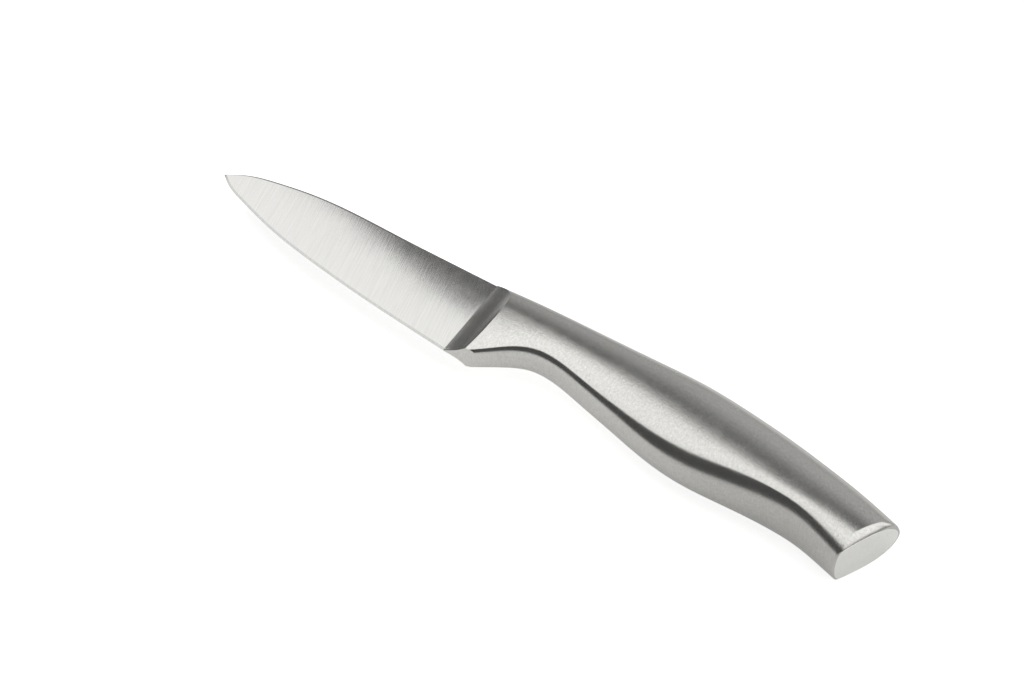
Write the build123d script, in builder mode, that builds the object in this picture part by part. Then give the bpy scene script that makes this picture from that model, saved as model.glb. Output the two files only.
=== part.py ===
from build123d import *
from math import cos, radians, sin, tan
import os

# Paring knife of stainless steel: a ground blade with a stub tang, a solid bolster, a handle of two
# pressed half shells welded along the middle plane, and a flat plate that closes the butt.
# The knife lies on its right side: +X runs from the tip to the butt, +Y from the edge to the spine,
# +Z out of the left side. "Along" is measured from the tip, "height" from the lowest point of the
# side view, and "side" from the middle plane of the blade.

# Whole knife, in millimetres
overall_length = 200.0
overall_height = 28.1
handle_thickness = 14.4

# Blade
blade_length = 85.0
blade_height = 24.9
spine_thickness = 1.5
shoulder_thickness = 0.4
tip_thickness = 0.4
bevel_height = 0.7
heel_height = 0.1
junction_lean = 7.1

# Stub tang
tang_margin = 3.2
tang_overhang = 5.0
tang_corner = 1.5

# Bolster
seam_setback = 7.0
spigot_length = 9.0
grind_radius = 18.0
grind_slope = 15.0
bolster_lip = 0.12
guard_rise = 15.0
guard_length = 9.5

# Handle shells and butt plate
ridge_setback = 5.5
wall = 1.2
butt_lean = 20.0
butt_face_height = 17.5
rim_radius = 1.0
cap_thickness = 1.5

# Joints
fit_gap = 0.05
weld_leg = 1.6
bead_slope_share = 0.7
overrun = 5.0
curve_tolerance = 1e-6

# Blade outline from the tip: along as a share of its length, height as a share of its height
tip_rise_share = 0.586
spine_shares = [
    (0.053, 0.710), (0.141, 0.817), (0.289, 0.918), (0.420, 0.956), (0.620, 0.968), (0.800, 0.984),
]
edge_shares = [(0.041, 0.498), (0.118, 0.402), (0.260, 0.272), (0.450, 0.161), (0.700, 0.069)]

# Handle seen from the side: along as a share of its length from the ridge, then the height of the
# belly, of the back and of the widest line as shares of the overall height
belly_shares = [
    (-0.105, -0.311), (-0.023, -0.064), (0.032, 0.105), (0.069, 0.226), (0.105, 0.316), (0.146, 0.350),
    (0.187, 0.342), (0.251, 0.292), (0.361, 0.190), (0.470, 0.099), (0.562, 0.076), (0.644, 0.108),
    (0.753, 0.148), (0.827, 0.134), (0.900, 0.061), (0.973, -0.021), (1.130, -0.165),
]
back_shares = [
    (-0.105, 0.881), (0.032, 0.931), (0.160, 0.957), (0.361, 0.988), (0.470, 1.000), (0.580, 0.969),
    (0.689, 0.917), (0.799, 0.842), (0.890, 0.765), (0.963, 0.685), (1.130, 0.476),
]
widest_shares = [
    (-0.105, 0.585), (0.020, 0.590), (0.160, 0.594), (0.361, 0.556), (0.470, 0.510), (0.580, 0.462),
    (0.689, 0.417), (0.799, 0.370), (0.890, 0.336), (1.130, 0.205),
]
# Handle seen from above: half thickness at the widest line, half width of the belly's corners and
# setback of the corners' rounding, as shares of half the handle's thickness
half_shares = [
    (-0.105, 0.550), (0.032, 0.605), (0.160, 0.670), (0.251, 0.735), (0.361, 0.828), (0.470, 0.918),
    (0.580, 0.980), (0.689, 1.000), (0.799, 0.990), (0.890, 0.962), (1.130, 0.920),
]
width_shares = [
    (-0.105, 0.330), (-0.023, 0.355), (0.032, 0.410), (0.082, 0.480), (0.160, 0.515), (0.251, 0.524),
    (0.361, 0.535), (0.470, 0.575), (0.580, 0.640), (0.689, 0.681), (0.799, 0.660), (0.890, 0.590),
    (1.130, 0.430),
]
corner_shares = [
    (-0.105, 0.130), (0.032, 0.139), (0.251, 0.160), (0.361, 0.210), (0.470, 0.300), (0.580, 0.345),
    (0.689, 0.330), (0.799, 0.292), (0.890, 0.250), (1.130, 0.160),
]
section_count = 24
section_crowding_share = 0.40
corner_fullness_share = 0.6
back_fullness_share = 0.54
flank_bend_share = 0.5
belly_corner_share = 1.3
corner_limit_share = 0.9

# Planes of the knife's own frame, whose origin is at the tip, lowest height and middle plane
half_spine = spine_thickness / 2
half_shoulder = shoulder_thickness / 2
half_handle = handle_thickness / 2
handle_length = overall_length - blade_length - ridge_setback
side_plane = Plane((-overall_length / 2, -overall_height / 2, half_handle))


def at(along, height, side=0.0):
    return side_plane.from_local_coords(Vector(along, height, side))


def cross_plane(along):
    return Plane(at(along, 0.0), x_dir=(0, 1, 0), z_dir=(1, 0, 0))


aft = Vector(cos(radians(junction_lean)), sin(radians(junction_lean)), 0)
junction_plane = Plane(at(blade_length, heel_height), x_dir=(0, 0, 1), z_dir=aft)
seam_plane = junction_plane.offset(seam_setback)
spigot_end_plane = junction_plane.offset(seam_setback + spigot_length)
butt_normal = Vector(cos(radians(butt_lean)), -sin(radians(butt_lean)), 0)
butt_plane = Plane(at(overall_length, butt_face_height), x_dir=(0, 0, 1), z_dir=butt_normal)

# Corners of the blade's outline
junction_shift = blade_height * tan(radians(junction_lean))
tip = Vector(0, heel_height + blade_height * tip_rise_share)
heel = Vector(blade_length, heel_height)
spine_end = Vector(blade_length - junction_shift, heel_height + blade_height)


def blade_points(shares):
    return [(blade_length * along, heel_height + blade_height * rise) for along, rise in shares]


# Flat ground face of one side, grown outward by the gap: it nears the middle to the edge and the tip
def ground_face(side, gap):
    low = at(heel.X, heel.Y, side * (half_shoulder + gap))
    top = at(spine_end.X, spine_end.Y, side * (half_spine + gap))
    far = at(tip.X, tip.Y, side * (tip_thickness / 2 + gap))
    return Plane(low, x_dir=far - low, z_dir=(far - low).cross(top - low) * side)


# Value of a smooth curve through the shares at one place along the handle
def share_on(curve, along_share):
    low, high = 0.0, 1.0
    while high - low > curve_tolerance:
        middle = (low + high) / 2
        if (curve @ middle).X < along_share:
            low = middle
        else:
            high = middle
    return (curve @ low).Y


belly_curve = Spline(*belly_shares)
back_curve = Spline(*back_shares)
curves = [belly_curve, back_curve]
curves += [Spline(*shares) for shares in (widest_shares, half_shares, width_shares, corner_shares)]

# Stub tang between the belly and the back of the spigot's end, clear of the shells by the margin
spigot_end = blade_length + seam_setback + spigot_length
spigot_end_share = (spigot_end - blade_length - ridge_setback) / handle_length
tang_bottom = overall_height * share_on(belly_curve, spigot_end_share) + wall + tang_margin
tang_top = overall_height * share_on(back_curve, spigot_end_share) - wall - tang_margin


# Stub tang seen from the side, from ahead of the junction to its rounded end
def tang_outline(gap):
    tang_start = blade_length - seam_setback
    tang_end = spigot_end + tang_overhang + gap
    with BuildSketch() as outline:
        with Locations(((tang_start + tang_end) / 2, (tang_bottom + tang_top) / 2)):
            RectangleRounded(tang_end - tang_start, tang_top - tang_bottom + 2 * gap, tang_corner)
    return outline.sketch


# Sections crowd together at the front, where the belly climbs steeply, and spread evenly to the butt
def section_shares():
    first, last = belly_shares[0][0], belly_shares[-1][0]
    rows = []
    for number in range(section_count):
        step = number / (section_count - 1)
        step = step * section_crowding_share + step * step * (1 - section_crowding_share)
        along_share = first + (last - first) * step
        rows.append((along_share, *(share_on(curve, along_share) for curve in curves)))
    return rows


sections = section_shares()


# Handle form through its cross sections, drawn in from the outer skin by the inset
def handle_form(inset):
    with BuildPart() as form:
        for along_share, *form_shares in sections:
            belly_share, back_share, widest_share, half_share, width_share, cut_share = form_shares
            belly = overall_height * belly_share + inset
            back = overall_height * back_share - inset
            widest = overall_height * widest_share
            half = half_handle * half_share - inset
            width = half_handle * width_share - inset
            cut = half_handle * cut_share * width / (width + inset)
            corner = Vector(belly, width)
            bend = Vector(belly + (widest - belly) * flank_bend_share, half)
            flank_start = corner + (bend - corner).normalized() * cut
            belly_end = Vector(belly, width - min(belly_corner_share * cut, corner_limit_share * width))
            with BuildSketch(cross_plane(blade_length + ridge_setback + handle_length * along_share)):
                with BuildLine():
                    Line((belly, 0), belly_end)
                    Bezier(
                        belly_end,
                        belly_end + (corner - belly_end) * corner_fullness_share,
                        flank_start + (corner - flank_start) * corner_fullness_share,
                        flank_start,
                    )
                    Bezier(flank_start, bend, (widest, half))
                    Bezier(
                        (widest, half),
                        (widest + (back - widest) * back_fullness_share, half),
                        (back, half * back_fullness_share),
                        (back, 0),
                    )
                    mirror(about=Plane.XZ)
                make_face()
        loft()
    return form.part


# Blade with its stub tang: one plate ground flat on both sides, then bevelled along the edge
with BuildPart() as blade:
    with BuildSketch(side_plane):
        with BuildLine():
            Spline(tip, *blade_points(spine_shares), spine_end)
            edge = Spline(heel, *reversed(blade_points(edge_shares)), tip)
            Line(spine_end, heel)
        make_face()
        add(tang_outline(0.0))
    extrude(amount=half_spine, both=True)
    for side in (1, -1):
        split(bisect_by=ground_face(side, 0.0), keep=Keep.TOP)
    with BuildLine(side_plane) as stone_path:
        Line(edge @ 0 - edge % 0 * overrun, edge @ 0)
        add(edge)
        Line(edge @ 1, edge @ 1 + edge % 1 * overrun)
    stone_start = stone_path.line @ 0
    stone_heading = stone_path.line % 0
    with BuildSketch(Plane(stone_start, x_dir=stone_heading.cross(side_plane.z_dir), z_dir=stone_heading)):
        with BuildLine():
            Polyline(
                (0, 0),
                (2 * bevel_height, shoulder_thickness),
                (-overrun, shoulder_thickness),
                (-overrun, -shoulder_thickness),
                (2 * bevel_height, -shoulder_thickness),
                close=True,
            )
        make_face()
    sweep(path=stone_path.line, mode=Mode.SUBTRACT)

# Outer skin of bolster and handle, with the rounded rim of the butt and the flat under the guard
with BuildPart() as skin:
    add(handle_form(0.0))
    split(bisect_by=butt_plane, keep=Keep.BOTTOM)
    butt_face = skin.faces().sort_by(Axis(butt_plane.origin, butt_normal))[-1]
    fillet(butt_face.edges(), radius=rim_radius)
    guard_drop = overrun * tan(radians(guard_rise))
    guard_climb = guard_length * tan(radians(guard_rise))
    with BuildSketch(side_plane):
        with BuildLine():
            Polyline(
                (blade_length - overrun, heel_height - guard_drop),
                (blade_length + guard_length, heel_height + guard_climb),
                (blade_length + guard_length, -overall_height),
                (blade_length - overrun, -overall_height),
                close=True,
            )
        make_face()
    extrude(amount=handle_thickness, both=True, mode=Mode.SUBTRACT)

# Grinding wheel that hollows the left side of the bolster, at a slope to the blade's face
wheel_top = at(spine_end.X, spine_end.Y, half_spine + bolster_lip)
wheel_foot = at(heel.X, heel.Y, half_shoulder + bolster_lip)
wheel_axis = (wheel_foot - wheel_top).normalized()
wheel_centre = Vector(-grind_radius * sin(radians(grind_slope)), grind_radius * cos(radians(grind_slope)))
with BuildPart() as wheel:
    with BuildSketch(Plane(wheel_top - wheel_axis * overrun, x_dir=aft, z_dir=wheel_axis)):
        with BuildLine():
            Line((-overrun, 0), (0, 0))
            grind = CenterArc(wheel_centre, grind_radius, grind_slope - 90, 90 - grind_slope)
            Polyline(grind @ 1, grind @ 1 + Vector(0, overrun), (-overrun, (grind @ 1).Y + overrun), (-overrun, 0))
        make_face()
    extrude(amount=blade_height + 2 * overrun)

# Bolster: solid, hollow ground on both sides, with a spigot inside the shells and the tang's slot
with BuildPart() as spigot:
    add(handle_form(wall + fit_gap))
    split(bisect_by=seam_plane, keep=Keep.TOP)
    split(bisect_by=spigot_end_plane, keep=Keep.BOTTOM)

with BuildPart() as slot:
    with BuildSketch(side_plane):
        add(tang_outline(fit_gap))
    extrude(amount=spine_thickness, both=True)
    for side in (1, -1):
        split(bisect_by=ground_face(side, fit_gap), keep=Keep.TOP)

with BuildPart() as bolster:
    add(skin.part)
    split(bisect_by=junction_plane, keep=Keep.TOP)
    split(bisect_by=seam_plane, keep=Keep.BOTTOM)
    add(spigot.part)
    add(wheel.part, mode=Mode.SUBTRACT)
    add(mirror(wheel.part, about=side_plane, mode=Mode.PRIVATE), mode=Mode.SUBTRACT)
    add(slot.part, mode=Mode.SUBTRACT)

# Handle shells: pressed sheet, split along the middle plane
cavity = handle_form(wall)
with BuildPart() as handle_shell_left:
    add(skin.part)
    add(cavity, mode=Mode.SUBTRACT)
    split(bisect_by=seam_plane, keep=Keep.TOP)
    split(bisect_by=side_plane, keep=Keep.TOP)

with BuildPart() as handle_shell_right:
    add(handle_shell_left.part)
    mirror(about=side_plane, mode=Mode.REPLACE)

# Plate that closes the butt, flush with its rim
with BuildPart() as butt_cap:
    add(handle_form(wall + fit_gap))
    split(bisect_by=butt_plane, keep=Keep.BOTTOM)
    split(bisect_by=butt_plane.offset(-cap_thickness), keep=Keep.TOP)

# Weld bead round the tang where it leaves the back of the spigot
weld_plane = Plane(spigot_end_plane.origin, x_dir=Vector(0, 0, 1).cross(aft), z_dir=aft)
tang_exit = at(spigot_end, (tang_bottom + tang_top) / 2)
with BuildPart() as tang_weld:
    with BuildSketch(weld_plane):
        with Locations((weld_plane.to_local_coords(tang_exit).X, 0)):
            RectangleRounded(tang_top - tang_bottom + 2 * weld_leg, spine_thickness + 2 * weld_leg, weld_leg)
    extrude(amount=weld_leg)
    bead_top = tang_weld.faces().sort_by(Axis(weld_plane.origin, aft))[-1]
    chamfer(bead_top.edges(), weld_leg * bead_slope_share)
    add(blade.part, mode=Mode.SUBTRACT)

os.makedirs("parts", exist_ok=True)
blade.part.label = "blade"
bolster.part.label = "bolster"
handle_shell_left.part.label = "handle_shell_left"
handle_shell_right.part.label = "handle_shell_right"
butt_cap.part.label = "butt_cap"
tang_weld.part.label = "tang_weld"
for piece in (blade, bolster, handle_shell_left, handle_shell_right, butt_cap, tang_weld):
    export_step(piece.part, f"parts/{piece.part.label}.step")
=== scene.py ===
from math import asin, cos, pi, radians, sin, sqrt, tan
import bmesh
import bpy
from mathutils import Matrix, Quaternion, Vector


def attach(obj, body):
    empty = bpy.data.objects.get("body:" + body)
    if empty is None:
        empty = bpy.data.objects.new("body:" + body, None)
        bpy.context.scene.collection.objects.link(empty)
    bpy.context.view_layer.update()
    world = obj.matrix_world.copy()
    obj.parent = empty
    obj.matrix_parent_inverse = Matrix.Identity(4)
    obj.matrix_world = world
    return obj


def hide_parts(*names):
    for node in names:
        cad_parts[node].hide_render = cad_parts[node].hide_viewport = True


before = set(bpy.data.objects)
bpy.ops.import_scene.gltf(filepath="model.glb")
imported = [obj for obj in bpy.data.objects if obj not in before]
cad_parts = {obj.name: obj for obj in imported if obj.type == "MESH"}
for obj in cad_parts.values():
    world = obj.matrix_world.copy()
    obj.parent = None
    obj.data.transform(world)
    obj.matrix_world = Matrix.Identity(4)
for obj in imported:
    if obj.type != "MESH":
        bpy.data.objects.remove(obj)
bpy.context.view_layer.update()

# Paring knife on a white table. The blade, bolster, handle shells and butt plate are remade as dense
# smooth meshes from the same sizes as the CAD, because polished steel shows every facet.
# Sizes are in millimetres and angles in degrees until a mesh is made. The frame, the table, the lights
# and the camera are in metres.

MM = 0.001
TINY = 1e-6

# Sizes of the CAD model
OVERALL_LENGTH = 200.0
OVERALL_HEIGHT = 28.1
HANDLE_THICKNESS = 14.4
BLADE_LENGTH = 85.0
BLADE_HEIGHT = 24.9
SPINE_THICKNESS = 1.5
SHOULDER_THICKNESS = 0.4
TIP_THICKNESS = 0.4
TIP_RISE = 0.586
BEVEL_HEIGHT = 0.7
HEEL_HEIGHT = 0.1
JUNCTION_LEAN = 7.1
SEAM_SETBACK = 7.0
SPIGOT_LENGTH = 9.0
GRIND_RADIUS = 18.0
GRIND_SLOPE = 15.0
BOLSTER_LIP = 0.12
GUARD_RISE = 15.0
RIDGE_SETBACK = 5.5
WALL = 1.2
BUTT_LEAN = 20.0
BUTT_FACE_HEIGHT = 17.5
CAP_THICKNESS = 1.5
TANG_MARGIN = 3.2
TANG_OVERHANG = 5.0
CORNER_FULLNESS = 0.6
BACK_FULLNESS = 0.54
FLANK_BEND = 0.5
HANDLE_LENGTH = OVERALL_LENGTH - BLADE_LENGTH - RIDGE_SETBACK
HALF_HANDLE = HANDLE_THICKNESS / 2
SPIGOT_END = BLADE_LENGTH + SEAM_SETBACK + SPIGOT_LENGTH

# Outlines of the blade as (along, up) in shares of its length and height
SPINE_SHARES = [
    (0.0, TIP_RISE), (0.053, 0.710), (0.141, 0.817), (0.289, 0.918), (0.420, 0.956), (0.620, 0.968),
    (0.800, 0.984),
]
EDGE_SHARES = [
    (0.0, TIP_RISE), (0.041, 0.498), (0.118, 0.402), (0.260, 0.272), (0.450, 0.161), (0.700, 0.069),
    (1.0, 0.0),
]

# Sections of the handle, each as (along from the ridge to the butt, share). Belly, back and widest line
# are heights as shares of the overall height. The half thickness, the flat belly's half width and the
# corner's rounding are shares of half the handle's thickness.
BELLY_SHARES = [
    (-0.105, -0.311), (-0.023, -0.064), (0.032, 0.105), (0.069, 0.226), (0.105, 0.316), (0.146, 0.350),
    (0.187, 0.341), (0.251, 0.291), (0.361, 0.189), (0.470, 0.096), (0.562, 0.072), (0.644, 0.102),
    (0.753, 0.143), (0.827, 0.132), (0.900, 0.062), (0.973, -0.019), (1.130, -0.162),
]
BACK_SHARES = [
    (-0.105, 0.881), (0.032, 0.931), (0.160, 0.957), (0.361, 0.988), (0.470, 1.000), (0.580, 0.969),
    (0.689, 0.917), (0.799, 0.842), (0.890, 0.765), (0.963, 0.685), (1.130, 0.476),
]
WIDEST_SHARES = [
    (-0.105, 0.600), (0.020, 0.614), (0.160, 0.612), (0.361, 0.564), (0.470, 0.512), (0.580, 0.462),
    (0.689, 0.413), (0.799, 0.362), (0.890, 0.332), (1.130, 0.205),
]
HALF_SHARES = [
    (-0.105, 0.550), (0.032, 0.605), (0.160, 0.670), (0.251, 0.735), (0.361, 0.828), (0.470, 0.918),
    (0.580, 0.980), (0.689, 1.000), (0.799, 0.990), (0.890, 0.962), (1.130, 0.920),
]
WIDTH_SHARES = [
    (-0.105, 0.330), (-0.023, 0.355), (0.032, 0.410), (0.082, 0.480), (0.160, 0.515), (0.251, 0.524),
    (0.361, 0.535), (0.470, 0.575), (0.580, 0.640), (0.689, 0.681), (0.799, 0.660), (0.890, 0.590),
    (1.130, 0.430),
]
CORNER_SHARES = [
    (-0.105, 0.090), (-0.020, 0.140), (0.060, 0.200), (0.251, 0.228), (0.361, 0.290), (0.470, 0.405),
    (0.580, 0.466), (0.689, 0.446), (0.799, 0.394), (0.890, 0.338), (1.130, 0.216),
]

# Details of the shape that differ from the CAD. SNUG and BUTT_EASE keep the meshes inside its box.
BELLY_CORNER = 1.7
CORNER_LIMIT = 0.95
SPINE_ROUND = 0.50
SPINE_STRIP = 0.28
ROUND_SHARE = 0.8
FULL_RIB = 3.0
BLADE_CROWN = 0.10
BEVEL_SHARE = 0.8
EDGE_THICKNESS = 0.03
TIP_TAPER = 0.8
TANG_OVERLAP = 1.0
EDGE_ROUND = 0.35
BUTT_EASE = 0.16
SNUG = 0.9996
RIM_BELLY = 0.40
RIM_FLANK = 1.6
RIM_SPINE = 0.6
RIM_START = 1.95
RIM_RISE = 1.3
RIM_FALL = 1.5
RIM_FACET = 0.25
FACET_TURNS = (1.9, 3.2)
FACET_FADES = (0.7, 0.8)
EDGE_FADE = 3
GROOVE_WIDTH = 0.06
GROOVE_DEPTH = 0.03

# Steps of the meshes; the skin's lines are counted over belly, corner, flank and back
SKIN_LINES = (8, 16, 24, 40)
RUN_OUT_LINES = 12
RUN_OUT_SPAN = 0.5
LEAST_TURN = 0.004
BLADE_RIBS = 140
RIB_CROWDING = 1.2
TIP_CROWDING = 0.35
ROUND_STEPS = 4
FACE_STEPS = 14
BEVEL_STEPS = 3
HOLLOW_STEPS = 18
FRONT_STEPS = 8
FILLET_STEPS = 5
FAN_STEPS = 4
SKIN_STEPS = 150
RIM_STEPS = 8
WALL_STEPS = 40
PLATE_STEPS = 6

# Distances in metres under which points of a mesh are merged and edges dropped
MERGE_DISTANCE = 1e-6
DROP_DISTANCE = 1e-8

# Where the cuts are searched: along the knife, down the hollow, and in turns of the skin
FRONT_SEARCH = (78.0, 0.25, 80)
SEAM_SEARCH = (84.0, 100.0)
BUTT_SEARCH = (180.0, 206.0)
FLAT_SEARCH = (-0.5, 4.0)
LOW_TURNS = (1.5, 2.5)
HIGH_TURNS = (3.2, 4.0)
SEAM_TURN = 1.0

# Finish of the steel: strokes and clouds of noise, and the stretch in metres over which the painted
# highlight at the bolster, a brighter base colour, fades out
GRAIN_LEAN = 20.0
COARSE_SHARE = 0.3
LARGE_CLOUDS = (60, 60, 60)
SMALL_CLOUDS = (260, 180, 260)
SMALL_SHARE = 0.4
TONE_RANGE = (0.35, 0.65)
PAINTED_SHEEN_RANGE = (0.0, 0.035)

# Table: half its side, its tone, its glow to the camera and in the metal, and the painted shade that dims
# the glow in the metal behind the knife and at the butt, with where that shade comes in
TABLE_HALF = 3.0
TABLE_TONE = (0.86, 0.86, 0.85, 1)
TABLE_IN_VIEW = 0.80
TABLE_IN_METAL = 0.42
TABLE_SHADE_BEHIND = 0.45
TABLE_SHADE_BEHIND_RANGE = (0.015, 0.12)
TABLE_SHADE_AT_BUTT = 0.80
TABLE_SHADE_AT_BUTT_RANGE = (0.0, 0.07)

# Room as the metal sees it, by direction: a dim front, a back wall that comes in over BACK_RANGE along Y,
# and on it a pale disc that fades in over DISC_RANGE, the cosine of the angle from its middle
ROOM_FRONT = 0.09
ROOM_BACK = 0.15
ROOM_DISC = 0.55
DISC_TOWARD = (-0.086, 0.981, 0.174)
DISC_RANGE = (0.80, 0.96)
BACK_RANGE = (-0.1, 0.4)

# Overhead softbox, in two halves that meet in a step
BOX_JOINT = Vector((-0.318, 0.3855, 0.5))
BOX_SPIN = -24.0
BOX_STEP = 0.0375
BOX_LEFT = 0.43
BOX_RIGHT = 0.50
BOX_DEPTH = 0.45
BOX_RADIANCE = 1.20

# Camera
CAMERA_TARGET = Vector((-0.0040, -0.00155, 0.0072))
CAMERA_BACK = Vector((0.4353, -0.5572, 0.7071))
CAMERA_DISTANCE = 0.525
CAMERA_LENS = 77.34
CAMERA_SENSOR = 36.0

# Sockets of a colour mixer, which share their names with others
MIX_FIRST = 6
MIX_SECOND = 7
MIX_RESULT = 2


# Curves and points

def smooth_curve(points):
    """Natural cubic spline through (x, y) points, as a function of x."""
    xs = [p[0] for p in points]
    ys = [p[1] for p in points]
    count = len(points)
    steps = [xs[i + 1] - xs[i] for i in range(count - 1)]
    upper = [0.0] * count
    right = [0.0] * count
    for i in range(1, count - 1):
        pull = 6 * ((ys[i + 1] - ys[i]) / steps[i] - (ys[i] - ys[i - 1]) / steps[i - 1])
        pivot = 2 * (steps[i - 1] + steps[i]) - steps[i - 1] * upper[i - 1]
        upper[i] = steps[i] / pivot
        right[i] = (pull - steps[i - 1] * right[i - 1]) / pivot
    bends = [0.0] * count
    for i in range(count - 2, 0, -1):
        bends[i] = right[i] - upper[i] * bends[i + 1]

    def value(x):
        i = 0
        while i < count - 2 and x > xs[i + 1]:
            i += 1
        a = (xs[i + 1] - x) / steps[i]
        b = 1 - a
        curl = (a ** 3 - a) * bends[i] + (b ** 3 - b) * bends[i + 1]
        return a * ys[i] + b * ys[i + 1] + curl * steps[i] ** 2 / 6

    return value


belly_at = smooth_curve(BELLY_SHARES)
back_at = smooth_curve(BACK_SHARES)
widest_at = smooth_curve(WIDEST_SHARES)
half_at = smooth_curve(HALF_SHARES)
width_at = smooth_curve(WIDTH_SHARES)
corner_at = smooth_curve(CORNER_SHARES)


def bezier(points, t):
    """The point at t on the curve that has these control points."""
    while len(points) > 1:
        points = [a.lerp(b, t) for a, b in zip(points, points[1:])]
    return points[0]


def solve(inside, low, high, rounds=40):
    """The place between low and high where inside(place) turns from true to false."""
    for _ in range(rounds):
        middle = (low + high) / 2
        if inside(middle):
            low = middle
        else:
            high = middle
    return (low + high) / 2


def spread(first, last, count):
    """Evenly spaced values from first to last, both of them included."""
    return [first + (last - first) * i / count for i in range(count + 1)]


def on_middle(point):
    """The same point on the knife's middle plane."""
    return Vector((point.x, point.y, 0))


def skin_point(along, turn, inset=0.0):
    """A point of the left skin: turn runs 0 to 4 over belly, corner, flank and back. Inset is inward."""
    share = (along - BLADE_LENGTH - RIDGE_SETBACK) / HANDLE_LENGTH
    belly = OVERALL_HEIGHT * belly_at(share) + inset
    back = OVERALL_HEIGHT * back_at(share) - inset
    widest = OVERALL_HEIGHT * widest_at(share)
    half = HALF_HANDLE * half_at(share) - inset
    width = HALF_HANDLE * width_at(share) - inset
    cut = HALF_HANDLE * corner_at(share) * width / (width + inset)
    belly_cut = min(cut * BELLY_CORNER, CORNER_LIMIT * width)
    corner = Vector((belly, width))
    bend = Vector((belly + (widest - belly) * FLANK_BEND, half))
    flank_start = corner + (bend - corner).normalized() * cut
    belly_end = Vector((belly, width - belly_cut))
    part = min(int(turn), 3)
    t = turn - part
    if part == 0:
        place = Vector((belly, 0.0)).lerp(belly_end, t)
    elif part == 1:
        place = bezier([
            belly_end,
            belly_end.lerp(corner, CORNER_FULLNESS),
            flank_start.lerp(corner, CORNER_FULLNESS),
            flank_start,
        ], t)
    elif part == 2:
        place = bezier([flank_start, bend, Vector((widest, half))], t)
    else:
        place = bezier([
            Vector((widest, half)),
            Vector((widest + (back - widest) * BACK_FULLNESS, half)),
            Vector((back, half * BACK_FULLNESS)),
            Vector((back, 0.0)),
        ], t)
    return Vector((along, place.x, place.y))


# Planes and the grinding wheel, in (along, height, side) coordinates

aft = Vector((cos(radians(JUNCTION_LEAN)), sin(radians(JUNCTION_LEAN)), 0))
heel = Vector((BLADE_LENGTH, HEEL_HEIGHT, 0))
tip = Vector((0, HEEL_HEIGHT + BLADE_HEIGHT * TIP_RISE, 0))
spine_end = heel + Vector((-BLADE_HEIGHT * tan(radians(JUNCTION_LEAN)), BLADE_HEIGHT, 0))
butt_normal = Vector((cos(radians(BUTT_LEAN)), -sin(radians(BUTT_LEAN)), 0))
butt_point = Vector((OVERALL_LENGTH - BUTT_EASE, BUTT_FACE_HEIGHT, 0))
wheel_top = spine_end + Vector((0, 0, SPINE_THICKNESS / 2 + BOLSTER_LIP))
wheel_foot = heel + Vector((0, 0, SHOULDER_THICKNESS / 2 + BOLSTER_LIP))
wheel_axis = (wheel_foot - wheel_top).normalized()
wheel_out = wheel_axis.cross(aft).normalized()


def ahead_of_junction(point):
    """Whether a point lies on the blade's side of the plane where blade and bolster meet."""
    return (point - heel).dot(aft) < 0


def in_wheel(point):
    """Whether a point lies inside the wheel that grinds the bolster's flank."""
    across = (point - wheel_top).dot(aft)
    out = (point - wheel_top).dot(wheel_out)
    reach = sin(radians(GRIND_SLOPE)) + max(across, 0.0) / GRIND_RADIUS
    return reach < 1 and out > GRIND_RADIUS * (cos(radians(GRIND_SLOPE)) - sqrt(1 - reach ** 2))


def under_guard(point):
    """Whether a point lies below the flat under the guard."""
    return point.y < HEEL_HEIGHT + (point.x - BLADE_LENGTH) * tan(radians(GUARD_RISE))


def front_of(turn):
    """Where one line of the skin leaves the bolster's cuts, and by which cut."""
    start, step, count = FRONT_SEARCH
    line = [skin_point(start + step * i, turn) for i in range(count)]
    best = 0.0
    cause = "junction"
    for name, inside in (("junction", ahead_of_junction), ("guard", under_guard), ("wheel", in_wheel)):
        last = max((p.x for p in line if inside(p)), default=0.0)
        if last:
            place = solve(lambda x: inside(skin_point(x, turn)), last, last + step)
            if place > best:
                best = place
                cause = name
    return best, cause


def seam_of(turn, inset=0.0):
    """Where one line meets the plane of the seam between bolster and handle."""
    return solve(lambda x: (skin_point(x, turn, inset) - heel).dot(aft) < SEAM_SETBACK, *SEAM_SEARCH)


def butt_of(turn, back_off, inset=0.0):
    """Where one line meets a plane that lies back from the butt's face."""
    limit = butt_point - butt_normal * back_off
    return solve(lambda x: (skin_point(x, turn, inset) - limit).dot(butt_normal) < 0, *BUTT_SEARCH)


# Lines of the skin: those where the ridge meets the seam, the guard's flat and the back, then others
# that lie closer on the back and most of all below the place where the ridge runs out

ridge_low = solve(lambda turn: front_of(turn)[1] == "guard", *LOW_TURNS)
ridge_high = solve(lambda turn: front_of(turn)[1] == "wheel", *HIGH_TURNS)
ridge_seam = solve(lambda turn: front_of(turn)[0] > seam_of(turn), SEAM_TURN, ridge_low)
special = (ridge_seam, ridge_low, ridge_high)

turns = [4.0]
for part, count in enumerate(SKIN_LINES):
    turns += spread(part, part + 1, count)[:-1]
turns += [ridge_high - RUN_OUT_SPAN * (i / RUN_OUT_LINES) ** 2 for i in range(1, RUN_OUT_LINES)]
turns = [t for t in turns if min(abs(t - place) for place in special) > LEAST_TURN]
turns = sorted(turns + list(special))
fronts = {turn: front_of(turn)[0] for turn in turns}
seam_number, low_number, high_number = (turns.index(place) for place in special)


# Meshes

def to_frame(point, side=1):
    """From (along, height, side) in millimetres to the frame's metres."""
    return Vector((
        (point.x - OVERALL_LENGTH / 2) * MM * SNUG,
        (point.y - OVERALL_HEIGHT / 2) * MM * SNUG,
        (HALF_HANDLE + point.z * side * SNUG) * MM,
    ))


across_grain = Vector((cos(radians(GRAIN_LEAN)), sin(radians(GRAIN_LEAN))))
along_grain = Vector((-sin(radians(GRAIN_LEAN)), cos(radians(GRAIN_LEAN))))


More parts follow.
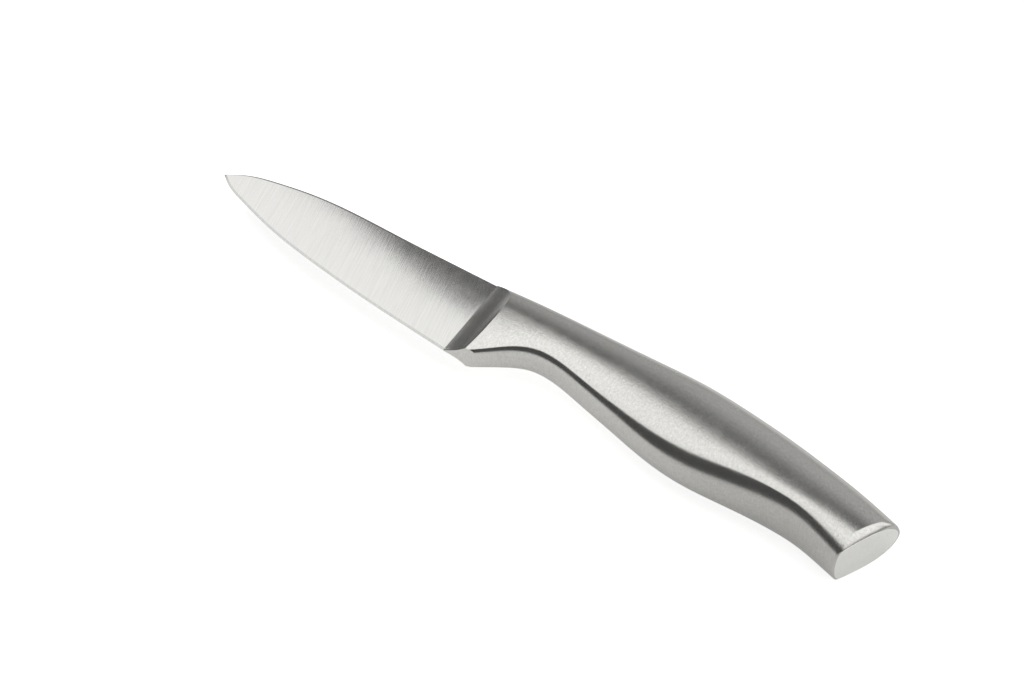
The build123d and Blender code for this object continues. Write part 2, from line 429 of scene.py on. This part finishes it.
class Shape:
    """Collects patches of quads and makes one closed mesh of them."""

    def __init__(self):
        self.points = []
        self.faces = []
        self.coats = []

    def patch(self, rows, side=1, second_from=None, third_up_to=0):
        """Join the rows by quads; the last columns may get the second material, the first the third."""
        start = len(self.points)
        width = len(rows[0])
        for row in rows:
            self.points += [to_frame(p, side) for p in row]
        for i in range(len(rows) - 1):
            for j in range(width - 1):
                a = start + i * width + j
                self.faces.append((a, a + 1, a + width + 1, a + width))
                coat = 0 if second_from is None or j < second_from else 1
                self.coats.append(2 if j < third_up_to else coat)

    def make(self, name, materials, replaced, sharp=24):
        """Merge the patches; edges that bend by less than the sharp angle are smooth."""
        mesh = bpy.data.meshes.new(name)
        mesh.from_pydata(self.points, [], self.faces)
        for face, coat in zip(mesh.polygons, self.coats):
            face.material_index = coat
        work = bmesh.new()
        work.from_mesh(mesh)
        bmesh.ops.remove_doubles(work, verts=work.verts, dist=MERGE_DISTANCE)
        bmesh.ops.dissolve_degenerate(work, edges=work.edges, dist=DROP_DISTANCE)
        bmesh.ops.recalc_face_normals(work, faces=work.faces)
        for edge in work.edges:
            edge.smooth = len(edge.link_faces) == 2 and edge.calc_face_angle(0) < radians(sharp)
        grain = work.loops.layers.uv.new("grain")
        for face in work.faces:
            face.smooth = True
            for loop in face.loops:
                loop[grain].uv = loop.vert.co.xy @ across_grain, loop.vert.co.xy @ along_grain
        work.to_mesh(mesh)
        work.free()
        for material in materials:
            mesh.materials.append(material)
        thing = bpy.data.objects.new(name, mesh)
        bpy.context.scene.collection.objects.link(thing)
        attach(thing, "root")
        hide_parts(*replaced)


# The blade is one flat-ground plate: spine rounding, ground face, then the bevel down to the edge

def half_thickness(point):
    """Half the blade's thickness on its flat ground face."""
    base = tip - heel
    rise = spine_end - heel
    det = base.x * rise.y - base.y * rise.x
    away = point - heel
    a = (away.x * rise.y - away.y * rise.x) / det
    b = (base.x * away.y - base.y * away.x) / det
    toward_tip = a * (TIP_THICKNESS - SHOULDER_THICKNESS)
    toward_spine = b * (SPINE_THICKNESS - SHOULDER_THICKNESS)
    return (SHOULDER_THICKNESS + toward_tip + toward_spine) / 2


spine_share_end = spine_end.x / BLADE_LENGTH
spine_at = smooth_curve(SPINE_SHARES + [(spine_share_end, 1.0)])
edge_at = smooth_curve(EDGE_SHARES)


def blade_rib(t):
    """One rib of the blade from the spine to the edge; t runs 0 to 1 from the tip to the bolster."""
    bend = t * t * TIP_CROWDING + t * (1 - TIP_CROWDING)
    top_share = spine_at(spine_share_end * bend)
    top = Vector((spine_end.x * bend, HEEL_HEIGHT + BLADE_HEIGHT * top_share, 0))
    low = Vector((BLADE_LENGTH * bend, HEEL_HEIGHT + BLADE_HEIGHT * edge_at(bend), 0))
    down = low - top
    reach = down.length
    down = down / max(reach, TINY)
    thinning = min(1.0, reach / TIP_TAPER)
    bevel = min(BEVEL_HEIGHT, BEVEL_SHARE * reach)
    rounding = min(SPINE_ROUND, ROUND_SHARE * half_thickness(top) * thinning)
    rounding *= min(1.0, reach / FULL_RIB)
    thick = half_thickness(top + down * rounding) * thinning
    row = [top]
    for i in range(ROUND_STEPS + 1):
        angle = pi / 2 * i / ROUND_STEPS
        rise = Vector((0, 0, thick - rounding * (1 - sin(angle))))
        row.append(top + down * rounding * (1 - cos(angle)) + rise)
    span = reach - rounding - bevel
    strip = min(SPINE_STRIP / max(span, TINY), 0.5 / FACE_STEPS)
    for share in [strip] + [i / FACE_STEPS for i in range(1, FACE_STEPS + 1)]:
        place = top.lerp(low, (rounding + span * share) / max(reach, TINY))
        crown = BLADE_CROWN * (reach / BLADE_HEIGHT) * 4 * share * (1 - share)
        row.append(place + Vector((0, 0, half_thickness(place) * thinning + crown)))
    start = half_thickness(low - down * bevel) * thinning
    for i in range(1, BEVEL_STEPS + 1):
        place = low - down * bevel * (1 - i / BEVEL_STEPS)
        rise = start + (EDGE_THICKNESS / 2 * thinning - start) * i / BEVEL_STEPS
        row.append(place + Vector((0, 0, rise)))
    row.append(low)
    return row


def tang_plate(shape, side):
    """Stub tang inside the bolster."""
    share = (SPIGOT_END - BLADE_LENGTH - RIDGE_SETBACK) / HANDLE_LENGTH
    low = OVERALL_HEIGHT * belly_at(share) + WALL + TANG_MARGIN
    high = OVERALL_HEIGHT * back_at(share) - WALL - TANG_MARGIN
    front = BLADE_LENGTH - TANG_OVERLAP
    back = SPIGOT_END + TANG_OVERHANG
    corners = [(front, low), (back, low), (back, high), (front, high)]
    outline = [Vector((along, up, 0)) for along, up in corners]
    faces = [p + Vector((0, 0, half_thickness(p))) for p in outline]
    shape.patch([faces[:2], [faces[3], faces[2]]], side)
    shape.patch([outline + outline[:1], faces + faces[:1]], side)


def make_blade(materials):
    """Both sides of the blade, its end at the bolster and the stub tang."""
    shape = Shape()
    rows = [blade_rib((i / BLADE_RIBS) ** RIB_CROWDING) for i in range(BLADE_RIBS + 1)]
    for side in (1, -1):
        shape.patch(rows, side, len(rows[0]) - BEVEL_STEPS - 2, ROUND_STEPS + 2)
        shape.patch([rows[-1], [on_middle(p) for p in rows[-1]]], side)
        tang_plate(shape, side)
    shape.make("blade_ground", materials, ["blade"], sharp=9)


# The bolster: front of the skin, spigot, two hollow-ground flanks, their feet and the guard's flat

def wheel_point(level, angle):
    """A point of the wheel's face, at a level along its axis and an angle round it."""
    return (
        wheel_top + wheel_axis * level
        + aft * GRIND_RADIUS * (sin(angle) - sin(radians(GRIND_SLOPE)))
        + wheel_out * GRIND_RADIUS * (cos(radians(GRIND_SLOPE)) - cos(angle))
    )


def wheel_angles(across):
    """Angles of the wheel's arc from its foot at the blade to a ridge that far across it."""
    first = radians(GRIND_SLOPE)
    return spread(first, asin(sin(first) + across / GRIND_RADIUS), HOLLOW_STEPS)


def wheel_arc(turn):
    """Points of the hollow from its foot at the blade to the ridge on one line of the skin."""
    ridge = skin_point(fronts[turn], turn) - wheel_top
    level = ridge.dot(wheel_axis)
    return [wheel_point(level, angle) for angle in wheel_angles(max(ridge.dot(aft), 0.0))]


def flat_edge():
    """Lower end of the hollow, where the flat under the guard cuts it."""
    corner = skin_point(fronts[ridge_low], ridge_low) - wheel_top
    search = [corner.dot(wheel_axis) + distance for distance in FLAT_SEARCH]
    curve = []
    for angle in wheel_angles(corner.dot(aft)):
        low = solve(lambda level: not under_guard(wheel_point(level, angle)), *search)
        curve.append(wheel_point(low, angle))
    curve[-1] = corner + wheel_top
    return curve


def seam_point(number):
    """Where one line crosses the seam; the lines that the guard's flat cuts off end in one point."""
    if number >= seam_number:
        return skin_point(seam_of(turns[number]), turns[number])
    return on_middle(skin_point(seam_of(ridge_seam), ridge_seam))


def front_rows():
    """The bolster's share of the skin, from the ridge to the seam."""
    rows = []
    for turn in turns[seam_number:]:
        rows.append([skin_point(x, turn) for x in spread(fronts[turn], seam_of(turn), FRONT_STEPS)])
    return rows


def spigot_rows():
    """The step in to the spigot, the spigot's skin and its flat end."""
    rows = []
    for number, turn in enumerate(turns):
        start = seam_of(turn, WALL)
        last = start + SPIGOT_LENGTH
        ends = [skin_point(x, turn, WALL) for x in (start, (start + last) / 2, last)]
        rows.append([seam_point(number)] + ends + [on_middle(ends[-1])])
    return rows


def hollow_rows(edge_curve, on_flat, rounds):
    """One ground flank: the small rounding at its lower end, a fan up to the first arc, then the arcs."""
    arcs = [wheel_arc(turn) for turn in turns[low_number:high_number + 1]]
    on_hollow = []
    for edge, above, radius in zip(edge_curve, arcs[0], rounds):
        on_hollow.append(edge.lerp(above, radius / max((above - edge).length, radius, TINY)))
    rows = []
    for i in range(FILLET_STEPS):
        curves = zip(on_flat, edge_curve, on_hollow)
        rows.append([bezier([a, b, c], i / FILLET_STEPS) for a, b, c in curves])
    for i in range(FAN_STEPS):
        rows.append([low.lerp(above, i / FAN_STEPS) for low, above in zip(on_hollow, arcs[0])])
    return rows + arcs


def guard_rows(on_flat):
    """The flat under the guard, from the hollow's lower end to the seam, out from the middle plane."""
    cut_off = [skin_point(fronts[turn], turn) for turn in reversed(turns[seam_number:low_number])]
    rows = []
    for outer in on_flat + cut_off:
        rows.append([Vector((outer.x, outer.y, z)) for z in spread(0, outer.z, seam_number)])
    rows[0] = [on_middle(on_flat[0])] * seam_number + [on_flat[0]]
    rows[-1] = [seam_point(number) for number in range(seam_number + 1)]
    return rows


def make_bolster(material):
    """The bolster; the rounding of the guard's flat runs out toward the ridge."""
    shape = Shape()
    edge_curve = flat_edge()
    left = [1 - i / HOLLOW_STEPS for i in range(HOLLOW_STEPS + 1)]
    rounds = [EDGE_ROUND * min(1.0, EDGE_FADE * share) for share in left]
    on_flat = [p - Vector((0, 0, radius)) for p, radius in zip(edge_curve, rounds)]
    hollow = hollow_rows(edge_curve, on_flat, rounds)
    above = [skin_point(fronts[turn], turn) for turn in turns[high_number + 1:]]
    feet = [row[0] for row in hollow] + above
    for side in (1, -1):
        shape.patch(front_rows(), side)
        shape.patch(spigot_rows(), side)
        shape.patch(hollow + [[above[0]] * len(hollow[0])], side)
        shape.patch([feet, [on_middle(p) for p in feet]], side)
        shape.patch(guard_rows(on_flat), side)
    shape.make("bolster_ground", [material], ["bolster"])


# The butt: a ground rim round the end of the shells and a flat plate inside it

def rim_radius(turn):
    """Width of the butt's ground rim: a lens, widest where the flank turns into the back."""
    share = max(turn - RIM_START, 0.0) / (4 - RIM_START)
    least = RIM_BELLY + (RIM_SPINE - RIM_BELLY) * share
    swell = share ** RIM_RISE * (1 - share) ** RIM_FALL
    peak = RIM_RISE / (RIM_RISE + RIM_FALL)
    return least + (RIM_FLANK - least) * swell / (peak ** RIM_RISE * (1 - peak) ** RIM_FALL)


def rim_fullness(turn):
    """How round the rim is: a near-flat facet on the flank, a full rounding at the belly and the spine."""
    below = (FACET_TURNS[0] - turn) / FACET_FADES[0]
    above = (turn - FACET_TURNS[1]) / FACET_FADES[1]
    return RIM_FACET + (1 - RIM_FACET) * min(max(below, above, 0.0), 1.0)


def rim_frame(turn):
    """End of one skin line at the rim, the sharp corner beyond it, the rim's inner end and the way in."""
    radius = rim_radius(turn)
    point = skin_point(butt_of(turn, radius), turn)
    corner = skin_point(butt_of(turn, 0.0), turn)
    inward = (skin_point(butt_of(turn, 0.0, WALL), turn, WALL) - corner).normalized()
    return point, corner, corner + inward * radius, inward


rims = {turn: rim_frame(turn) for turn in turns}


def groove_point(turn):
    """Bottom of the fine groove between the rim and the plate."""
    inner, inward = rims[turn][2:]
    return inner + inward * GROOVE_WIDTH / 2 - butt_normal * GROOVE_DEPTH


def shell_line(number):
    """One closed line of a shell: skin, rim, groove, inner wall and the end at the seam."""
    turn = turns[number]
    start = max(seam_of(turn), fronts[turn])
    point, corner, inner = rims[turn][:3]
    outer = [skin_point(x, turn) for x in spread(start, point.x, SKIN_STEPS)]
    bulge = point.lerp(inner, 0.5).lerp(corner, rim_fullness(turn))
    rim = [bezier([point, bulge, inner], i / RIM_STEPS) for i in range(1, RIM_STEPS + 1)]
    ends = butt_of(turn, CAP_THICKNESS, WALL), seam_of(turn, WALL)
    wall = [skin_point(x, turn, WALL) for x in spread(*ends, WALL_STEPS)]
    return outer + rim + [groove_point(turn)] + wall + [seam_point(number), outer[0]]


def make_shell(name, replaced, side, material):
    """One shell: skin and inner wall, closed by the two narrow faces where the shells meet."""
    shape = Shape()
    lines = [shell_line(number) for number in range(len(turns))]
    shape.patch(lines, side)
    outer_count = SKIN_STEPS + RIM_STEPS + 2
    for line in (lines[0], lines[-1]):
        flat = [on_middle(p) for p in line]
        outer = flat[:outer_count]
        wall = flat[outer_count:-2]
        seam = [[flat[-2], wall[-1]]]
        for i, place in enumerate(outer):
            share = i / (len(outer) - 1)
            seam.append([place, wall[round((1 - share) * (len(wall) - 1))]])
        shape.patch(seam, side)
    shape.make(name, [material], [replaced])


def make_butt_plate(material):
    """Flat plate inside the rim, with its back face, side and half of the groove."""
    shape = Shape()
    middle = (rims[turns[0]][2] + rims[turns[-1]][2]) / 2
    for side in (1, -1):
        rows = []
        for turn in turns:
            inner, inward = rims[turn][2:]
            groove = groove_point(turn)
            lip = inner + inward * GROOVE_WIDTH
            back = groove - butt_normal * CAP_THICKNESS
            face = [lip.lerp(on_middle(middle), i / PLATE_STEPS) for i in range(1, PLATE_STEPS + 1)]
            rows.append([middle - butt_normal * CAP_THICKNESS, back, groove, lip] + face)
        shape.patch(rows, side)
    shape.make("butt_plate", [material], ["butt_cap"])


# Materials

def nodes_of(material):
    """The node tree of a new material and its shader."""
    material.use_nodes = True
    tree = material.node_tree
    return tree, tree.nodes["Principled BSDF"]


def add_node(tree, kind, **values):
    """A node with some of its sockets or settings filled in."""
    node = tree.nodes.new(kind)
    for key, value in values.items():
        if key in node.inputs:
            node.inputs[key].default_value = value
        else:
            setattr(node, key, value)
    return node


def maths(tree, operation, first, second):
    """One operation on two values, each of them a socket or a number."""
    node = add_node(tree, "ShaderNodeMath", operation=operation)
    for entry, value in zip(node.inputs, (first, second)):
        if isinstance(value, bpy.types.NodeSocket):
            tree.links.new(value, entry)
        else:
            entry.default_value = value
    return node.outputs[0]


def coordinates(tree, kind):
    """One kind of coordinates as a socket."""
    return add_node(tree, "ShaderNodeTexCoord").outputs[kind]


def axes(tree, place):
    """The sockets X, Y and Z of a vector."""
    parts = add_node(tree, "ShaderNodeSeparateXYZ")
    tree.links.new(place, parts.inputs["Vector"])
    return parts.outputs


def stroke_noise(tree, turn, scale, detail=3.0, rough=0.6):
    """Noise turned about Z, then stretched into strokes; scale is in cells per metre."""
    turned = add_node(tree, "ShaderNodeMapping")
    turned.inputs["Rotation"].default_value = (0, 0, -radians(turn))
    mapping = add_node(tree, "ShaderNodeMapping")
    mapping.inputs["Scale"].default_value = scale
    noise = add_node(tree, "ShaderNodeTexNoise", Scale=1.0, Detail=detail, Roughness=rough)
    tree.links.new(coordinates(tree, "Object"), turned.inputs["Vector"])
    tree.links.new(turned.outputs["Vector"], mapping.inputs["Vector"])
    tree.links.new(mapping.outputs["Vector"], noise.inputs["Vector"])
    return noise.outputs["Fac"]


def remap(tree, value, low, high, first=0.3, last=0.7):
    """Values from first to last become values from low to high, and stay there beyond."""
    node = add_node(tree, "ShaderNodeMapRange")
    node.inputs["From Min"].default_value = first
    node.inputs["From Max"].default_value = last
    node.inputs["To Min"].default_value = low
    node.inputs["To Max"].default_value = high
    tree.links.new(value, node.inputs["Value"])
    return node.outputs["Result"]


def average(tree, first, second, share):
    """A mix of two values with the given share of the second."""
    node = add_node(tree, "ShaderNodeMix", data_type="FLOAT")
    node.inputs["Factor"].default_value = share
    tree.links.new(first, node.inputs["A"])
    tree.links.new(second, node.inputs["B"])
    return node.outputs["Result"]


def steel(
    name, base, tone_spread, roughness, turn, fine, coarse, depth, clouds,
    stretch=0.0, front=1.0,
):
    """Steel with fine and coarse strokes in tone and bump, and slow clouds in tone and gloss.

    Turn is the strokes' lean, fine and coarse their cells per metre, depth the bump's in metres, clouds
    their share in the tone, stretch how far the gloss follows the grain, front a painted highlight: the
    factor by which the base colour is made brighter at the bolster.
    """
    material = bpy.data.materials.new(name)
    tree, shader = nodes_of(material)
    shader.inputs["Metallic"].default_value = 1.0
    if stretch:
        shader.inputs["Anisotropic"].default_value = stretch
        tangent = add_node(tree, "ShaderNodeTangent", direction_type="UV_MAP", uv_map="grain")
        tree.links.new(tangent.outputs["Tangent"], shader.inputs["Tangent"])
    fine_strokes = stroke_noise(tree, turn, fine, 2.0)
    coarse_strokes = stroke_noise(tree, turn, coarse, 1.0)
    grain = average(tree, fine_strokes, coarse_strokes, COARSE_SHARE)
    large_clouds = stroke_noise(tree, turn, LARGE_CLOUDS)
    small_clouds = stroke_noise(tree, turn, SMALL_CLOUDS)
    cloud = average(tree, large_clouds, small_clouds, SMALL_SHARE)
    tree.links.new(remap(tree, cloud, roughness[0], roughness[1]), shader.inputs["Roughness"])
    mixed = average(tree, grain, cloud, clouds)
    colour = add_node(tree, "ShaderNodeMix", data_type="RGBA")
    colour.inputs[MIX_FIRST].default_value = (*(c * (1 - tone_spread) for c in base), 1)
    colour.inputs[MIX_SECOND].default_value = (*(c * (1 + tone_spread) for c in base), 1)
    tree.links.new(remap(tree, mixed, 0.0, 1.0, *TONE_RANGE), colour.inputs["Factor"])
    # Painted highlight: toward the bolster the base colour is scaled up by front, fading back to plain steel
    along = axes(tree, coordinates(tree, "Object"))["X"]
    painted_sheen = add_node(tree, "ShaderNodeVectorMath", operation="SCALE")
    tree.links.new(colour.outputs[MIX_RESULT], painted_sheen.inputs[0])
    tree.links.new(remap(tree, along, front, 1.0, *PAINTED_SHEEN_RANGE), painted_sheen.inputs["Scale"])
    tree.links.new(painted_sheen.outputs["Vector"], shader.inputs["Base Color"])
    bump = add_node(tree, "ShaderNodeBump", Strength=1.0, Distance=depth)
    tree.links.new(grain, bump.inputs["Height"])
    tree.links.new(bump.outputs["Normal"], shader.inputs["Normal"])
    return material


blade_steel = steel(
    "blade_steel_ground", base=(0.60, 0.595, 0.58), tone_spread=0.045, roughness=(0.09, 0.15),
    turn=GRAIN_LEAN, fine=(3400, 80, 900), coarse=(2000, 40, 500), depth=0.000010, clouds=0.15,
    stretch=0.6,
)
bevel_steel = steel(
    "blade_steel_honed", base=(0.50, 0.50, 0.485), tone_spread=0.08, roughness=(0.18, 0.26),
    turn=GRAIN_LEAN, fine=(2400, 200, 900), coarse=(1300, 60, 500), depth=0.000004, clouds=0.15,
    stretch=0.3,
)
# The spine's rounding and the thin strip beside it: a linished finish in roughness and strokes, and a base
# colour under half the blade's, painted shade.
spine_steel_painted_shade = steel(
    "blade_steel_linished_painted_shade", base=(0.28, 0.28, 0.27), tone_spread=0.08, roughness=(0.20, 0.28),
    turn=0, fine=(900, 900, 2400), coarse=(500, 500, 1300), depth=0.000004, clouds=0.15,
)
# The handle's steel carries a painted highlight: its base colour is 6% brighter at the bolster.
handle_steel = steel(
    "handle_steel_satin", base=(0.590, 0.582, 0.56), tone_spread=0.12, roughness=(0.19, 0.29),
    turn=12, fine=(3200, 2000, 2600), coarse=(1500, 900, 1300), depth=0.000016, clouds=0.22,
    front=1.06,
)
# The butt plate: a satin finish in its roughness and strokes, and a base colour far brighter than the
# handle's steel, a painted highlight.
plate_steel_painted_sheen = steel(
    "butt_plate_satin_painted_sheen", base=(0.93, 0.93, 0.90), tone_spread=0.05, roughness=(0.20, 0.28),
    turn=12, fine=(2600, 1700, 2200), coarse=(1100, 700, 1000), depth=0.000008, clouds=0.4,
)
weld_steel = steel(
    "weld_steel_raw", base=(0.40, 0.38, 0.35), tone_spread=0.25, roughness=(0.45, 0.70),
    turn=0, fine=(1500, 1500, 1500), coarse=(500, 500, 500), depth=0.00003, clouds=0.5,
)

make_blade([blade_steel, bevel_steel, spine_steel_painted_shade])
make_bolster(handle_steel)
make_shell("handle_skin_left", "handle_shell_left", 1, handle_steel)
make_shell("handle_skin_right", "handle_shell_right", -1, handle_steel)
make_butt_plate(plate_steel_painted_sheen)
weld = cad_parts["tang_weld"]
weld.data.materials.clear()
weld.data.materials.append(weld_steel)


# White table, room, softboxes and camera

def make_table():
    """A flat table, white to the camera, with painted shade in the metal behind the knife and at the butt.
    """
    mesh = bpy.data.meshes.new("table_top")
    corners = [(-1, -1), (1, -1), (1, 1), (-1, 1)]
    mesh.from_pydata([(x * TABLE_HALF, y * TABLE_HALF, 0) for x, y in corners], [], [(0, 1, 2, 3)])
    table = bpy.data.objects.new("table_top", mesh)
    bpy.context.scene.collection.objects.link(table)
    material = bpy.data.materials.new("white_table")
    tree, shader = nodes_of(material)
    path = add_node(tree, "ShaderNodeLightPath").outputs
    reflected = maths(tree, "MAXIMUM", path["Is Glossy Ray"], path["Is Transmission Ray"])
    parts = axes(tree, coordinates(tree, "Object"))
    # Painted shade: in the metal the table's glow and base colour are dimmed behind the knife and toward the
    # butt
    slant = maths(tree, "SUBTRACT", parts["Y"], parts["X"])
    shade_behind = remap(tree, slant, 1.0, TABLE_SHADE_BEHIND, *TABLE_SHADE_BEHIND_RANGE)
    shade_at_butt = remap(tree, parts["X"], 1.0, TABLE_SHADE_AT_BUTT, *TABLE_SHADE_AT_BUTT_RANGE)
    painted_shade = maths(tree, "MULTIPLY", shade_behind, shade_at_butt)
    paint = add_node(tree, "ShaderNodeMix", data_type="RGBA", blend_type="MULTIPLY")
    paint.inputs[MIX_FIRST].default_value = TABLE_TONE
    tree.links.new(reflected, paint.inputs["Factor"])
    tree.links.new(painted_shade, paint.inputs[MIX_SECOND])
    tree.links.new(paint.outputs[MIX_RESULT], shader.inputs["Base Color"])
    shader.inputs["Roughness"].default_value = 0.9
    in_metal = maths(tree, "MULTIPLY", maths(tree, "MULTIPLY", reflected, TABLE_IN_METAL), painted_shade)
    in_view = maths(tree, "MULTIPLY", path["Is Camera Ray"], TABLE_IN_VIEW)
    tree.links.new(maths(tree, "ADD", in_view, in_metal), shader.inputs["Emission Strength"])
    shader.inputs["Emission Color"].default_value = (1, 1, 1, 1)
    mesh.materials.append(material)


def make_room():
    """A room that is white to the camera. The metal sees a dim front, and a back wall with a pale disc."""
    world = bpy.data.worlds.new("studio")
    bpy.context.scene.world = world
    world.use_nodes = True
    tree = world.node_tree
    place = coordinates(tree, "Generated")
    disc = add_node(tree, "ShaderNodeVectorMath", operation="DOT_PRODUCT")
    disc.inputs[1].default_value = DISC_TOWARD
    tree.links.new(place, disc.inputs[0])
    back_level = remap(tree, disc.outputs["Value"], ROOM_BACK, ROOM_DISC, *DISC_RANGE)
    back_share = remap(tree, axes(tree, place)["Y"], 0.0, 1.0, *BACK_RANGE)
    level = add_node(tree, "ShaderNodeMix", data_type="FLOAT")
    level.inputs["A"].default_value = ROOM_FRONT
    tree.links.new(back_share, level.inputs["Factor"])
    tree.links.new(back_level, level.inputs["B"])
    path = add_node(tree, "ShaderNodeLightPath").outputs
    background = tree.nodes["Background"]
    background.inputs["Color"].default_value = (1, 1, 1, 1)
    strength = maths(tree, "MAXIMUM", level.outputs["Result"], path["Is Camera Ray"])
    tree.links.new(strength, background.inputs["Strength"])


def softbox(name, centre, aim, width, height, radiance, spin=0.0):
    """A flat softbox whose face has the given radiance; spin turns it in its own plane."""
    light = bpy.data.lights.new(name, "AREA")
    light.shape = "RECTANGLE"
    light.size = width
    light.size_y = height
    light.energy = radiance * pi * width * height
    thing = bpy.data.objects.new(name, light)
    bpy.context.scene.collection.objects.link(thing)
    thing.location = centre
    facing = (Vector(aim) - Vector(centre)).to_track_quat("-Z", "Y")
    thing.rotation_mode = "QUATERNION"
    thing.rotation_quaternion = facing @ Quaternion((0, 0, 1), radians(spin))


def overhead_half(name, first, last, step):
    """One half of the overhead softbox, from first to last across it; step cuts off its far edge."""
    across = Vector((cos(radians(BOX_SPIN)), sin(radians(BOX_SPIN)), 0))
    up = Vector((-sin(radians(BOX_SPIN)), cos(radians(BOX_SPIN)), 0))
    centre = BOX_JOINT + across * (first + last) / 2 + up * (-step - BOX_DEPTH) / 2
    below = centre - Vector((0, 0, 1))
    softbox(name, centre, below, last - first, BOX_DEPTH - step, BOX_RADIANCE, BOX_SPIN)


def place_camera():
    """The camera of the photo's view, which looks down at the knife from the front right."""
    data = bpy.data.cameras.new("camera")
    data.sensor_width = CAMERA_SENSOR
    data.lens = CAMERA_LENS
    data.clip_start = 0.01
    data.clip_end = 20.0
    camera = bpy.data.objects.new("camera", data)
    bpy.context.scene.collection.objects.link(camera)
    camera.location = CAMERA_TARGET + CAMERA_BACK * CAMERA_DISTANCE
    camera.rotation_mode = "QUATERNION"
    camera.rotation_quaternion = (-CAMERA_BACK).to_track_quat("-Z", "Y")
    bpy.context.scene.camera = camera


make_table()
make_room()
overhead_half("overhead_left", -BOX_LEFT, 0.0, BOX_STEP)
overhead_half("overhead_right", 0.0, BOX_RIGHT, 0.0)
softbox(
    "side_softbox", centre=(0.524, 0.09, 0.346), aim=(0.10, 0.0, 0.0),
    width=0.35, height=0.55, radiance=1.3,
)
softbox(
    "rim_softbox", centre=(0.436, 0.400, 0.241), aim=(0.095, 0.0, 0.01),
    width=0.30, height=0.36, radiance=1.25,
)
place_camera()
bpy.context.scene.view_settings.view_transform = "Standard"

bpy.context.view_layer.update()
